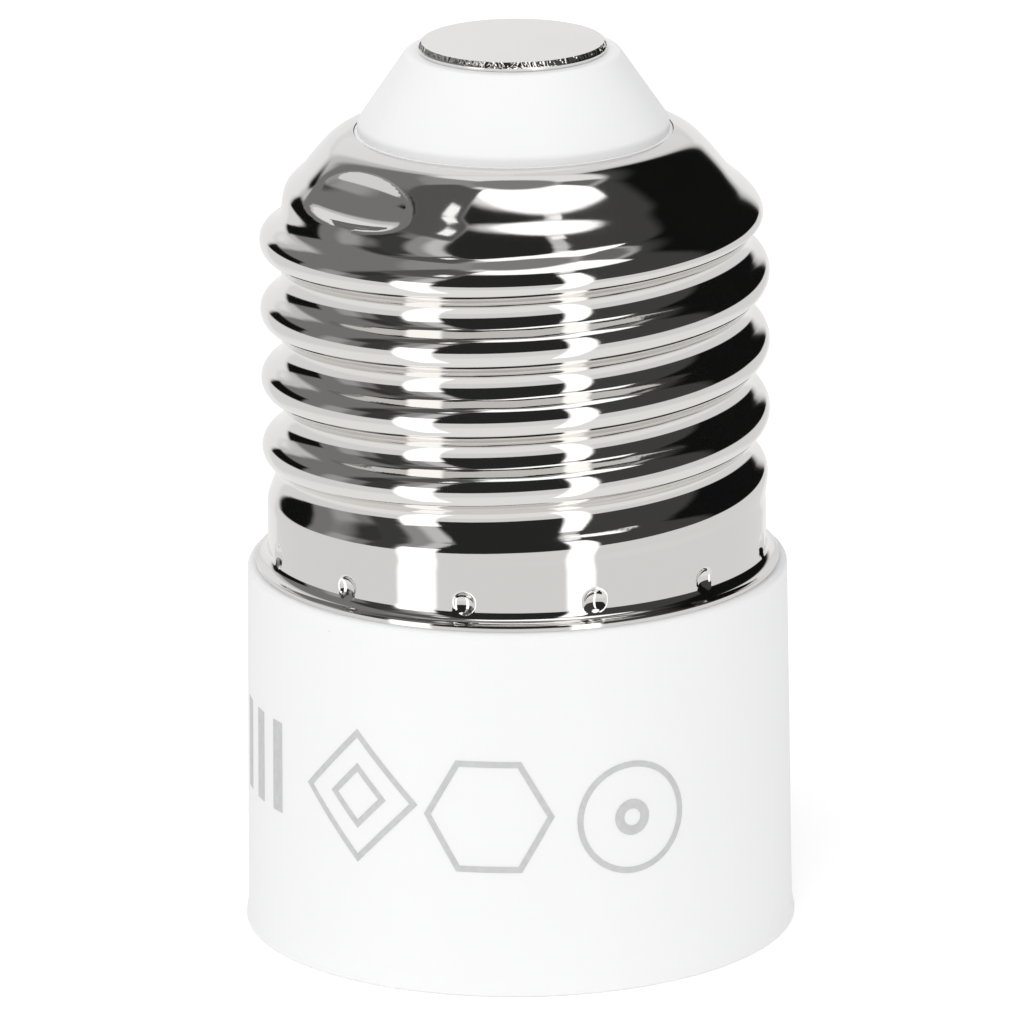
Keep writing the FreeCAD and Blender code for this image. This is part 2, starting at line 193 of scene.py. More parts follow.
def rolling_tree():
    """Rolls a right-handed thread of two tangent arcs into a plain turned skin."""
    tree = bpy.data.node_groups.new("rolled thread", "GeometryNodeTree")
    tree.interface.new_socket("Geometry", in_out="INPUT", socket_type="NodeSocketGeometry")
    sizes = ("Pitch", "Arc", "Major Radius", "Crest", "Bottom", "Top", "Lower Fade", "Upper Fade")
    for size in sizes:
        tree.interface.new_socket(size, in_out="INPUT", socket_type="NodeSocketFloat")
    tree.interface.new_socket("Metal", in_out="INPUT", socket_type="NodeSocketMaterial")
    tree.interface.new_socket("Geometry", in_out="OUTPUT", socket_type="NodeSocketGeometry")
    given = tree.nodes.new("NodeGroupInput").outputs
    result = tree.nodes.new("NodeGroupOutput")

    position = tree.nodes.new("GeometryNodeInputPosition").outputs[0]
    parts = tree.nodes.new("ShaderNodeSeparateXYZ")
    tree.links.new(position, parts.inputs[0])
    x, y, height = parts.outputs
    squares = reckon(tree, "ADD", reckon(tree, "MULTIPLY", x, x), reckon(tree, "MULTIPLY", y, y))
    own_radius = reckon(tree, "SQRT", squares)
    depth = tree.nodes.new("GeometryNodeInputNamedAttribute")
    depth.data_type = "FLOAT"
    depth.inputs["Name"].default_value = "skin_depth"
    plain = reckon(tree, "ADD", own_radius, depth.outputs["Attribute"])

    # Axial distance from the nearest crest. The crest's height is given on the left, at -90 degrees.
    turn = reckon(tree, "ARCTAN2", x, reckon(tree, "MULTIPLY", y, -1.0))
    turn = reckon(tree, "DIVIDE", turn, 2 * math.pi)
    over_crest = reckon(tree, "SUBTRACT", height, given["Crest"])
    from_crest = reckon(tree, "DIVIDE", over_crest, given["Pitch"])
    from_crest = reckon(tree, "SUBTRACT", from_crest, reckon(tree, "ADD", turn, 0.25))
    nearest = reckon(tree, "ROUND", from_crest)
    share = reckon(tree, "ABSOLUTE", reckon(tree, "SUBTRACT", from_crest, nearest))
    distance = reckon(tree, "MULTIPLY", share, given["Pitch"])

    # Crest arc, root arc, and the radius between them where they meet
    square = reckon(tree, "MULTIPLY", given["Arc"], given["Arc"])

    def arc_height(along):
        rest = reckon(tree, "SUBTRACT", square, reckon(tree, "MULTIPLY", along, along))
        return reckon(tree, "SQRT", reckon(tree, "MAXIMUM", rest, 0.0))

    quarter = reckon(tree, "DIVIDE", given["Pitch"], 4.0)
    drop = reckon(tree, "SUBTRACT", given["Arc"], arc_height(quarter))
    crest_middle = reckon(tree, "SUBTRACT", given["Major Radius"], given["Arc"])
    crest = reckon(tree, "ADD", crest_middle, arc_height(distance))
    root_middle = reckon(tree, "SUBTRACT", given["Major Radius"], reckon(tree, "MULTIPLY", drop, 2.0))
    root_middle = reckon(tree, "ADD", root_middle, given["Arc"])
    from_root = reckon(tree, "SUBTRACT", reckon(tree, "DIVIDE", given["Pitch"], 2.0), distance)
    root = reckon(tree, "SUBTRACT", root_middle, arc_height(from_root))
    on_crest = reckon(tree, "LESS_THAN", share, 0.25)
    over_root = reckon(tree, "MULTIPLY", on_crest, reckon(tree, "SUBTRACT", crest, root))
    thread = reckon(tree, "ADD", root, over_root)

    # The thread fades in above the bottom and out below the top
    def fade(start, end):
        node = tree.nodes.new("ShaderNodeMapRange")
        node.interpolation_type = "SMOOTHSTEP"
        tree.links.new(height, node.inputs["Value"])
        tree.links.new(start, node.inputs["From Min"])
        tree.links.new(end, node.inputs["From Max"])
        return node.outputs["Result"]

    rising = fade(given["Bottom"], reckon(tree, "ADD", given["Bottom"], given["Lower Fade"]))
    falling = fade(given["Top"], reckon(tree, "SUBTRACT", given["Top"], given["Upper Fade"]))
    move = reckon(tree, "SUBTRACT", thread, plain)
    move = reckon(tree, "MULTIPLY", move, reckon(tree, "MULTIPLY", rising, falling))
    scale = reckon(tree, "DIVIDE", move, own_radius)

    shift = tree.nodes.new("ShaderNodeCombineXYZ")
    tree.links.new(reckon(tree, "MULTIPLY", x, scale), shift.inputs[0])
    tree.links.new(reckon(tree, "MULTIPLY", y, scale), shift.inputs[1])
    place = tree.nodes.new("GeometryNodeSetPosition")
    real = tree.nodes.new("GeometryNodeRealizeInstances")
    metal = tree.nodes.new("GeometryNodeSetMaterial")
    tree.links.new(given["Geometry"], place.inputs["Geometry"])
    tree.links.new(shift.outputs[0], place.inputs["Offset"])
    tree.links.new(place.outputs[0], real.inputs[0])
    tree.links.new(real.outputs[0], metal.inputs["Geometry"])
    tree.links.new(given["Metal"], metal.inputs["Material"])
    tree.links.new(metal.outputs[0], result.inputs[0])
    return tree


def roll_thread(piece, tree, skin_depths, metal, **sizes):
    """Runs the rolling tree over a turned piece and keeps the plain mesh that it gives."""
    depth = piece.data.attributes.new("skin_depth", "FLOAT", "POINT")
    depth.data.foreach_set("value", np.asarray(skin_depths, np.float32))
    rolling = piece.modifiers.new("rolled thread", "NODES")
    rolling.node_group = tree
    for item in tree.interface.items_tree:
        if item.in_out == "INPUT" and item.name.replace(" ", "_").lower() in sizes:
            rolling[item.identifier] = sizes[item.name.replace(" ", "_").lower()]
        if item.name == "Metal":
            rolling[item.identifier] = metal
    return baked(piece)


def plated_metal(name, colour, roughness, spread, grain, bump):
    """Bright plated sheet: even colour, faint haze where it was handled, and a soft ripple."""
    metal = bpy.data.materials.new(name)
    metal.use_nodes = True
    tree = metal.node_tree
    shader = tree.nodes["Principled BSDF"]
    shader.inputs["Base Color"].default_value = (*colour, 1)
    shader.inputs["Metallic"].default_value = 1.0
    place = tree.nodes.new("ShaderNodeTexCoord")
    haze = tree.nodes.new("ShaderNodeTexNoise")
    haze.inputs["Scale"].default_value = 160.0
    haze.inputs["Detail"].default_value = 6.0
    tree.links.new(place.outputs["Object"], haze.inputs["Vector"])
    range_of = tree.nodes.new("ShaderNodeMapRange")
    range_of.inputs["From Min"].default_value = 0.35
    range_of.inputs["From Max"].default_value = 0.75
    range_of.inputs["To Min"].default_value = roughness
    range_of.inputs["To Max"].default_value = roughness + spread
    tree.links.new(haze.outputs["Fac"], range_of.inputs["Value"])
    tree.links.new(range_of.outputs["Result"], shader.inputs["Roughness"])
    ripple = tree.nodes.new("ShaderNodeTexNoise")
    ripple.inputs["Scale"].default_value = grain
    ripple.inputs["Detail"].default_value = 5.0
    ripple.inputs["Roughness"].default_value = 0.66
    tree.links.new(place.outputs["Object"], ripple.inputs["Vector"])
    relief = tree.nodes.new("ShaderNodeBump")
    relief.inputs["Strength"].default_value = 1.0
    relief.inputs["Distance"].default_value = bump
    tree.links.new(ripple.outputs["Fac"], relief.inputs["Height"])
    tree.links.new(relief.outputs["Normal"], shader.inputs["Normal"])
    return metal


crown_middle = DOME_EDGE - aim(DOME_EDGE_ANGLE) * DOME_CROWN
flank_middle = crown_middle - aim(DOME_CROWN_ANGLE) * (DOME_FLANK - DOME_CROWN)
foot_sine = (DOME_NECK - DOME_FOOT - flank_middle.x) / (DOME_FLANK - DOME_FOOT)
foot_angle = math.degrees(math.asin(foot_sine))
foot_middle = flank_middle + aim(foot_angle) * (DOME_FLANK - DOME_FOOT)


def shell_skin(offset, step):
    """The shell's profile from its skirt to the dome's hole, without the thread."""
    skirt = SKIRT + offset
    neck = DOME_NECK + offset
    dimples_end = Vector((skirt, DIMPLES_END))
    points = line_between(Vector((skirt, SKIRT_FOOT)), dimples_end, step * DIMPLE_ROWS)
    points += line_between(dimples_end, Vector((skirt, SKIRT_TOP)), step)[1:]
    points += line_between(Vector((neck, DOME_NECK_LOW)), Vector((neck, foot_middle.y)), step)
    points += arc_between(foot_middle, DOME_FOOT + offset, 90.0, foot_angle, step)[1:]
    flank_bend = DOME_FLANK + offset
    points += arc_between(flank_middle, flank_bend, foot_angle, DOME_CROWN_ANGLE, step)[1:]
    crown_bend = DOME_CROWN + offset
    points += arc_between(crown_middle, crown_bend, DOME_CROWN_ANGLE, DOME_EDGE_ANGLE, step)[1:]
    return points


def flare_skin(offset, step):
    """The quarter round that flares from the skirt out to the lip."""
    bend = FLARE - offset
    centre = Vector((SKIRT + FLARE, LEDGE + SHELL_WALL + FLARE))
    count = math.ceil(math.pi / 2 * bend / step)
    turns = [math.radians(angle) for angle in np.linspace(180, 270, count + 1)]
    return [centre + Vector((math.cos(turn), math.sin(turn))) * bend for turn in turns]


outer_skin = shell_skin(offset=0, step=0.165 * MM)
inner_skin = shell_skin(offset=-SHELL_WALL, step=0.5 * MM)
lip_top = LEDGE + SHELL_WALL
lip = [
    Vector((LIP, LEDGE)),
    Vector((LIP, lip_top - LIP_BREAK)),
    Vector((LIP - LIP_BREAK / 4, lip_top - LIP_BREAK / 4)),
    Vector((LIP - LIP_BREAK, lip_top)),
]
outer_flare = flare_skin(offset=0, step=0.09 * MM)[::-1]
inner_flare = flare_skin(offset=-SHELL_WALL, step=0.25 * MM)[:-1]
shell_profile = lip + outer_flare[1:] + outer_skin[1:] + inner_skin[::-1] + inner_flare[1:]

# Narrow columns across each dimple, and wider ones from there to the next
DIMPLE_COLUMNS = 14
SPACE_COLUMNS = 17
dimple_span = DIMPLE_RADIUS / SKIRT * DIMPLE_MARGIN
next_dimple = 2 * math.pi / DIMPLE_COUNT - dimple_span
fine = np.linspace(-dimple_span, dimple_span, DIMPLE_COLUMNS, endpoint=False)
coarse = np.linspace(dimple_span, next_dimple, SPACE_COLUMNS, endpoint=False)
one_space = np.degrees(np.concatenate([fine, coarse])) + DIMPLE_FIRST
spaces = [one_space + 360 / DIMPLE_COUNT * number for number in range(DIMPLE_COUNT)]
shell_azimuths = np.concatenate(spaces)

bright_nickel = plated_metal(
    "bright nickel",
    colour=(0.80, 0.785, 0.765),
    roughness=0.035,
    spread=0.05,
    grain=900.0,
    bump=0.0012 * MM,
)
screw_shell = turned("shell", shell_profile, shell_azimuths)
outer_count = len(lip) + len(outer_flare) - 1 + len(outer_skin) - 1
row_depths = [0.0] * outer_count + [SHELL_WALL] * (len(shell_profile) - outer_count)
roll = rolling_tree()
roll_thread(
    screw_shell,
    roll,
    np.repeat(row_depths, len(shell_azimuths)),
    bright_nickel,
    pitch=SHELL_PITCH,
    arc=SHELL_ARC,
    major_radius=SHELL_MAJOR,
    crest=SHELL_CREST,
    bottom=SHELL_BOTTOM,
    top=SHELL_TOP,
    lower_fade=SHELL_LOWER_FADE,
    upper_fade=SHELL_UPPER_FADE,
)

# The punches push the rolled wall in: twelve small round ones and the long one on the dome
points = np.empty(len(screw_shell.data.vertices) * 3)
screw_shell.data.vertices.foreach_get("co", points)
points = points.reshape(-1, 3)
walls = np.repeat(row_depths, len(shell_azimuths))
around = np.degrees(np.arctan2(points[:, 0], -points[:, 1]))
radii = np.hypot(points[:, 0], points[:, 1])
beside = (around - DIMPLE_FIRST + 180 / DIMPLE_COUNT) % (360 / DIMPLE_COUNT) - 180 / DIMPLE_COUNT
off_middle = np.hypot(np.radians(beside) * SKIRT, points[:, 2] - LEDGE - DIMPLE_HEIGHT)
push = DIMPLE_DEPTH * np.clip(1 - (off_middle / DIMPLE_RADIUS) ** 2, 0, 1) ** DIMPLE_BLUNTNESS
points[:, :2] *= ((radii - push) / radii)[:, None]

across = polar(1, DENT_AZIMUTH + 90, 0)
normal_side = polar(aim(DENT_ANGLE).x, DENT_AZIMUTH, aim(DENT_ANGLE).y)
down = normal_side.cross(across)
seat = flank_middle + aim(DENT_ANGLE) * DOME_FLANK
seat = polar(seat.x, DENT_AZIMUTH, seat.y)
local = (points - np.array(seat)) @ np.array([across, down, normal_side]).T
halves = np.array(DENT_HALF) + walls[:, None]
spread = (local[:, 0] / halves[:, 0]) ** 2 + (local[:, 1] / halves[:, 1]) ** 2
bowl = halves[:, 2] * np.sqrt(np.clip(1 - spread, 0, 1))
dent_floor = DENT_HALF.z - DENT_DEPTH - bowl + np.clip(spread - 1, 0, None) * DENT_RISE
depths = local[:, 2]
overlap = np.clip((DENT_SOFTNESS - np.abs(depths - dent_floor)) / DENT_SOFTNESS, 0, 1)
lowered = np.minimum(depths, dent_floor) - overlap**2 * DENT_SOFTNESS / 4
near = (np.abs(depths) < DENT_REACH) & (spread < DENT_SPREAD)
points += np.where(near, lowered - depths, 0)[:, None] * np.array(normal_side)
screw_shell.data.vertices.foreach_set("co", points.reshape(-1))
screw_shell.data.update()
screw_shell.data.attributes.remove(screw_shell.data.attributes["skin_depth"])
screw_shell.data.shade_smooth()
sharpen(screw_shell, 50)
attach(screw_shell, "root")
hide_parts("screw_shell")


# Insulator. One white thermoplastic moulding: the barrel with the lamp's mouth, the neck inside
# the shell and the conical nose. The slot takes the link strip, the bore the sleeve and the spring.
BARREL_TOP = 13.88 * MM
BARREL_BASE = 14.1 * MM
FOOT = 14.25 * MM
FOOT_HEIGHT = 0.9 * MM
FOOT_BEND = 0.6 * MM
FOOT_RIM_BEND = 0.12 * MM
BARREL_TOP_BEND = 0.3 * MM
COLLAR = 12.41 * MM
COLLAR_TOP = 21.8 * MM
GROOVE = 12.21 * MM
GROOVE_LOW = LEDGE + 0.3 * MM
GROOVE_HIGH = LEDGE + 2.2 * MM
NECK = 11.34 * MM
NOSE_BASE = 7.95 * MM
NOSE_FOOT = 8.11 * MM
NOSE_FOOT_DROP = 0.06 * MM
NOSE_BASE_DROP = 0.02 * MM
NOSE_BASE_HEIGHT = 42.28 * MM
NOSE_BASE_BEND = 0.45 * MM
UNDER_DOME = 0.6 * MM
NOSE_TOP = 5.446 * MM
NOSE_TOP_HEIGHT = 45.95 * MM
NOSE_TOP_BEND = 0.4 * MM
NOSE_BORE = 5.5 * MM
WEB_LOW = 43.45 * MM
SHANK_HOLE = 1.6 * MM
MOUTH = 9.4 * MM
MOUTH_DEPTH = 7.5 * MM
MOUTH_CHAMFER = 0.5 * MM
MOUTH_BEND = 0.15 * MM
SLEEVE_BORE = 7.5 * MM
SLEEVE_BORE_TOP = 26.0 * MM
LINK_LEG = 8.5 * MM
LINK_SLOT = Vector((0.8, 3.5)) * MM
LINK_SLOT_TOP = 41.0 * MM
KEYWAY_INSIDE = 5.6 * MM
KEYWAY_OVERRUN = 1.0 * MM
HOLLOW_CLEARANCE = 0.55 * MM


def white_plastic():
    """Satin white moulding: a fine spark-eroded grain, soft light in the edges, stray dark specks."""
    plastic = bpy.data.materials.new("white moulding")
    plastic.use_nodes = True
    tree = plastic.node_tree
    shader = tree.nodes["Principled BSDF"]
    shader.inputs["Subsurface Weight"].default_value = 0.15
    shader.inputs["Subsurface Radius"].default_value = (0.6 * MM, 0.6 * MM, 0.6 * MM)
    shader.inputs["Subsurface Scale"].default_value = 1.0
    place = tree.nodes.new("ShaderNodeTexCoord")
    speck = tree.nodes.new("ShaderNodeTexVoronoi")
    speck.inputs["Scale"].default_value = 420.0
    tree.links.new(place.outputs["Object"], speck.inputs["Vector"])
    sparse = tree.nodes.new("ShaderNodeSeparateColor")
    tree.links.new(speck.outputs["Color"], sparse.inputs[0])
    few = reckon(tree, "GREATER_THAN", sparse.outputs["Red"], 0.93)
    own_size = reckon(tree, "MULTIPLY", sparse.outputs["Green"], 0.03)
    small = reckon(tree, "LESS_THAN", speck.outputs["Distance"], own_size)
    tint = tree.nodes.new("ShaderNodeMix")
    tint.data_type = "RGBA"
    tint.inputs["A"].default_value = (0.90, 0.90, 0.905, 1)
    tint.inputs["B"].default_value = (0.55, 0.54, 0.52, 1)
    tree.links.new(reckon(tree, "MULTIPLY", few, small), tint.inputs["Factor"])
    tree.links.new(tint.outputs["Result"], shader.inputs["Base Color"])
    shader.inputs["Roughness"].default_value = 0.42
    shader.inputs["Specular IOR Level"].default_value = 0.45
    grain = tree.nodes.new("ShaderNodeTexNoise")
    grain.inputs["Scale"].default_value = 5200.0
    grain.inputs["Detail"].default_value = 3.0
    tree.links.new(place.outputs["Object"], grain.inputs["Vector"])
    relief = tree.nodes.new("ShaderNodeBump")
    relief.inputs["Strength"].default_value = 0.35
    relief.inputs["Distance"].default_value = 0.006 * MM
    tree.links.new(grain.outputs["Fac"], relief.inputs["Height"])
    tree.links.new(relief.outputs["Normal"], shader.inputs["Normal"])
    return plastic


def cutter(name, mesh_maker, place):
    """A tool that is cut out of a moulding."""
    work = bmesh.new()
    mesh_maker(work)
    bmesh.ops.transform(work, matrix=place, verts=work.verts)
    mesh = bpy.data.meshes.new(name)
    work.to_mesh(mesh)
    work.free()
    tool = bpy.data.objects.new(name, mesh)
    bpy.context.scene.collection.objects.link(tool)
    return tool


dent_side = Matrix.Rotation(math.radians(DENT_AZIMUTH - 90), 4, "Z")


def box_tool(name, low, high):
    """A box on the dent's side of the axis, given by its corners."""
    stretch = Matrix.Diagonal((*(high - low), 1))
    place = dent_side @ Matrix.Translation((low + high) / 2) @ stretch
    return cutter(name, lambda work: bmesh.ops.create_cube(work, size=1.0), place)


crown = crown_middle + aim(DOME_CROWN_ANGLE) * (DOME_CROWN - UNDER_DOME)
shoulder = foot_middle.y + aim(foot_angle).y * DOME_FOOT - UNDER_DOME
body_profile = rounded(
    [
        (MOUTH + MOUTH_CHAMFER, 0, MOUTH_BEND),
        (FOOT, 0, FOOT_RIM_BEND),
        (BARREL_BASE, FOOT_HEIGHT, FOOT_BEND),
        (BARREL_TOP, LEDGE, BARREL_TOP_BEND),
        (COLLAR, LEDGE, 0),
        (COLLAR, GROOVE_LOW, 0),
        (GROOVE, GROOVE_LOW, 0),
        (GROOVE, GROOVE_HIGH, 0),
        (COLLAR, GROOVE_HIGH, 0),
        (COLLAR, COLLAR_TOP, 0),
        (NECK, COLLAR_TOP + COLLAR - NECK, 0),
        (NECK, shoulder, 0),
        (crown.x, crown.y, 0),
        (NOSE_FOOT, DOME_EDGE.y - UNDER_DOME, 0),
        (NOSE_FOOT, DOME_EDGE.y - NOSE_FOOT_DROP, 0),
        (NOSE_BASE, DOME_EDGE.y - NOSE_BASE_DROP, 0),
        (NOSE_BASE, NOSE_BASE_HEIGHT, NOSE_BASE_BEND),
        (NOSE_TOP, NOSE_TOP_HEIGHT, NOSE_TOP_BEND),
        (SHANK_HOLE, NOSE_TOP_HEIGHT, 0),
        (SHANK_HOLE, WEB_LOW, 0),
        (NOSE_BORE, WEB_LOW, 0),
        (NOSE_BORE, SLEEVE_BORE_TOP, 0),
        (SLEEVE_BORE, SLEEVE_BORE_TOP, 0),
        (SLEEVE_BORE, MOUTH_DEPTH + MOUTH_CHAMFER, 0),
        (SLEEVE_BORE + MOUTH_CHAMFER, MOUTH_DEPTH, 0),
        (MOUTH, MOUTH_DEPTH, 0),
        (MOUTH, MOUTH_CHAMFER, MOUTH_BEND),
    ],
    step=0.06 * MM,
)
moulding = turned("insulator", body_profile, np.linspace(0, 360, 256, endpoint=False))
slot_low = LINK_LEG - LINK_SLOT.x / 2
slot_high = LINK_LEG + LINK_SLOT.x / 2
half_slot = LINK_SLOT.y / 2
hollow_radius = DENT_HALF.y + HOLLOW_CLEARANCE
hollow_seat = flank_middle + aim(DENT_ANGLE) * (DOME_FLANK + DENT_HALF.y - DENT_DEPTH)
laid_across = Matrix.Rotation(math.pi / 2, 4, "X")
hollow_place = Matrix.Translation((hollow_seat.x, 0, hollow_seat.y)) @ laid_across


def round_bar(work):
    """The bar that makes room in the moulding for the shell's dent."""
    bmesh.ops.create_cone(
        work,
        cap_ends=True,
        segments=64,
        radius1=hollow_radius,
        radius2=hollow_radius,
        depth=2 * (DENT_HALF.x + HOLLOW_CLEARANCE),
    )


keyway_low = Vector((KEYWAY_INSIDE, -half_slot, MOUTH_DEPTH - KEYWAY_OVERRUN))
keyway_high = Vector((slot_high, half_slot, SLEEVE_BORE_TOP))
slot_foot = Vector((slot_low, -half_slot, MOUTH_DEPTH))
slot_head = Vector((slot_high, half_slot, LINK_SLOT_TOP))
tools = [
    box_tool("keyway", keyway_low, keyway_high),
    box_tool("slot", slot_foot, slot_head),
    cutter("hollow", round_bar, dent_side @ hollow_place),
]
for tool in tools:
    cut = moulding.modifiers.new(tool.name, "BOOLEAN")
    cut.operation = "DIFFERENCE"
    cut.solver = "EXACT"
    cut.object = tool
baked(moulding)
for tool in tools:
    bpy.data.objects.remove(tool)
moulding.data.materials.clear()
moulding.data.materials.append(white_plastic())
moulding.data.shade_smooth()
sharpen(moulding, 28)
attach(moulding, "root")
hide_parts("insulator_body")


# Printed marks. Pale grey ink, pad-printed on the barrel: plain bars, outlines and a dot.
# The ink lies on the moulding in a thin even film.
INK_THICKNESS = 0.012 * MM
INK_LINE = 0.32 * MM
INK_STEP = 0.25 * MM
FILM_SHARE = 0.8
SHARPEST_MITRE = 0.3
BAR_AZIMUTHS = (-80.0, -71.0, -62.0)
BAR_LOW = 7.6 * MM
BAR_HIGH = 12.4 * MM
BAR_WIDTH = 1.0 * MM
# Azimuth, height, radius, sides, turn and line of each outline
OUTLINES = [
    (-36, 9.9 * MM, 3.3 * MM, 4, 90, INK_LINE),
    (-36, 9.9 * MM, 1.5 * MM, 4, 90, INK_LINE),
    (-6.5, 9.5 * MM, 3.2 * MM, 6, 0, INK_LINE),
    (24, 9.1 * MM, 2.8 * MM, 48, 0, INK_LINE),
    (24, 9.1 * MM, 0.7 * MM, 24, 0, 0.5 * MM),
]


def barrel_point(along, height):
    """A point on the ink film, from its distance round the barrel and its height."""
    share = (height - FOOT_HEIGHT) / (LEDGE - FOOT_HEIGHT)
    radius = BARREL_BASE + (BARREL_TOP - BARREL_BASE) * share + INK_THICKNESS
    return polar(radius, math.degrees(along / BARREL_BASE), height)


def stroke(work, corners, line):
    """A closed or open printed line of even width through flat corners, mitred at each."""
    closed = corners[0] == corners[-1]
    path = [Vector(corner) for corner in (corners[:-1] if closed else corners)]
    sides = []
    for index, here in enumerate(path):
        before = path[index - 1] if closed or index else None
        after = path[(index + 1) % len(path)] if closed or index + 1 < len(path) else None
        into = (here - before).normalized() if before else (after - here).normalized()
        out = (after - here).normalized() if after else into
        left = Vector((-into.y - out.y, into.x + out.x)).normalized()
        reach = line / 2 / max(SHARPEST_MITRE, left.dot(Vector((-into.y, into.x))))
        sides.append((here + left * reach, here - left * reach))
    pairs = list(zip(sides, sides[1:] + sides[:1])) if closed else list(zip(sides, sides[1:]))
    for first, second in pairs:
        count = max(1, math.ceil((first[0] - second[0]).length / INK_STEP))
        lanes = np.linspace(0, 1, max(1, math.ceil(line / INK_STEP)) + 1)
        rails = []
        for share in np.linspace(0, 1, count + 1):
            left = first[0].lerp(second[0], share)
            right = first[1].lerp(second[1], share)
            rail = [barrel_point(*left.lerp(right, lane)) for lane in lanes]
            rails.append([work.verts.new(point) for point in rail])
        for low, high in zip(rails, rails[1:]):
            for lane in range(len(low) - 1):
                work.faces.new((low[lane], low[lane + 1], high[lane + 1], high[lane]))


def polygon(middle, height, radius, sides, turn):
    """The closed corners of a regular outline on the unrolled barrel."""
    corners = []
    for side in range(sides + 1):
        angle = math.radians(turn + 360 * (side % sides) / sides)
        corners.append((middle + radius * math.cos(angle), height + radius * math.sin(angle)))
    return corners


def along_barrel(azimuth):
    """The distance round the barrel that an azimuth lies at."""
    return math.radians(azimuth) * BARREL_BASE


ink_work = bmesh.new()
for azimuth in BAR_AZIMUTHS:
    along = along_barrel(azimuth)
    stroke(ink_work, [(along, BAR_LOW), (along, BAR_HIGH)], BAR_WIDTH)
for azimuth, height, radius, sides, turn, line in OUTLINES:
    stroke(ink_work, polygon(along_barrel(azimuth), height, radius, sides, turn), line)
bmesh.ops.remove_doubles(ink_work, verts=ink_work.verts, dist=1e-7)
bmesh.ops.recalc_face_normals(ink_work, faces=ink_work.faces)
for face in ink_work.faces:
    middle = face.calc_center_median()
    if face.normal.dot(Vector((middle.x, middle.y, 0))) < 0:
        face.normal_flip()
marks_mesh = bpy.data.meshes.new("printed_marks")
ink_work.to_mesh(marks_mesh)
ink_work.free()
printed_marks = bpy.data.objects.new("printed_marks", marks_mesh)
bpy.context.scene.collection.objects.link(printed_marks)
film = printed_marks.modifiers.new("film", "SOLIDIFY")
film.thickness = INK_THICKNESS * FILM_SHARE
film.offset = -1.0
baked(printed_marks)

grey_ink = bpy.data.materials.new("grey ink")
grey_ink.use_nodes = True
ink_tree = grey_ink.node_tree
ink_shader = ink_tree.nodes["Principled BSDF"]
ink_shader.inputs["Roughness"].default_value = 0.5
ink_place = ink_tree.nodes.new("ShaderNodeTexCoord")
ink_patch = ink_tree.nodes.new("ShaderNodeTexNoise")
ink_patch.inputs["Scale"].default_value = 2500.0
ink_patch.inputs["Detail"].default_value = 4.0
ink_tree.links.new(ink_place.outputs["Object"], ink_patch.inputs["Vector"])
ink_tint = ink_tree.nodes.new("ShaderNodeMix")
ink_tint.data_type = "RGBA"
ink_tint.inputs["A"].default_value = (0.50, 0.50, 0.505, 1)
ink_tint.inputs["B"].default_value = (0.66, 0.66, 0.665, 1)
ink_tree.links.new(ink_patch.outputs["Fac"], ink_tint.inputs["Factor"])
ink_tree.links.new(ink_tint.outputs["Result"], ink_shader.inputs["Base Color"])
marks_mesh = printed_marks.data
marks_mesh.materials.clear()
marks_mesh.materials.append(grey_ink)
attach(printed_marks, "root")


# Centre contact. A flat disc stamped from nickel-plated sheet, with the torn edge that stamping
# leaves, riveted through the nose by its shank.
CONTACT = 4.8 * MM
CONTACT_TOP = 46.43 * MM
SHANK = 1.5 * MM
RIVET_HEAD = 2.4 * MM
RIVET_TOP = 43.1 * MM
RIVET_LOW = 42.4 * MM
RIVET_BEND = 0.4 * MM
CONTACT_BREAK = 0.05 * MM
BURNISHED = 0.18 * MM
TORN_LEAN = 0.11 * MM
TORN_DEPTH = 0.12 * MM
TORN_RISE = 0.06 * MM
TORN_ROW = 0.045 * MM
TORN_WAVES = 28
contact_profile = [
    Vector((0, RIVET_LOW)),
    Vector((RIVET_HEAD - RIVET_BEND, RIVET_LOW)),
    Vector((RIVET_HEAD, RIVET_LOW + RIVET_BEND)),
    Vector((RIVET_HEAD, RIVET_TOP)),
    Vector((SHANK, RIVET_TOP)),
    Vector((SHANK, NOSE_TOP_HEIGHT)),
]
burnished_foot = Vector((CONTACT, NOSE_TOP_HEIGHT + CONTACT_BREAK))
torn_foot = Vector((CONTACT, NOSE_TOP_HEIGHT + BURNISHED))
torn_top = Vector((CONTACT - TORN_LEAN, CONTACT_TOP))
seat_rim = Vector((CONTACT - CONTACT_BREAK, NOSE_TOP_HEIGHT))
contact_profile += line_between(contact_profile[-1], seat_rim, 0.6 * MM)[1:]
contact_profile += line_between(burnished_foot, torn_foot, TORN_ROW)
contact_profile += line_between(torn_foot, torn_top, TORN_ROW)[1:]
contact_profile += line_between(torn_top, Vector((0, CONTACT_TOP)), 0.25 * MM)[1:]
contact_azimuths = np.linspace(0, 360, 512, endpoint=False)
contact = turned("contact", contact_profile, contact_azimuths, closed=False)
tear = np.random.default_rng(7)
waves = []
for _ in range(TORN_WAVES):
    # Teeth round the disc, where they start, and how far they lean
    waves.append((tear.integers(40, 230), tear.uniform(0, 6.28), tear.uniform(900, 15000)))
for vertex in contact.data.vertices:
    radius = math.hypot(vertex.co.x, vertex.co.y)
    low_edge = vertex.co.z - NOSE_TOP_HEIGHT
    if radius < CONTACT - TORN_LEAN - 0.01 * MM or low_edge < BURNISHED:
        continue
    azimuth = math.atan2(vertex.co.x, -vertex.co.y)
    teeth = [math.sin(count * azimuth + phase + lean * low_edge) for count, phase, lean in waves]
    rising = min(1.0, (low_edge - BURNISHED) / TORN_RISE)
    depth = TORN_DEPTH * max(0.0, 0.3 - sum(teeth) / TORN_WAVES) * rising
    vertex.co.xy *= (radius - depth) / radius
satin_nickel = plated_metal(
    "satin nickel",
    colour=(0.90, 0.89, 0.875),
    roughness=0.13,
    spread=0.14,
    grain=2600.0,
    bump=0.003 * MM,
)
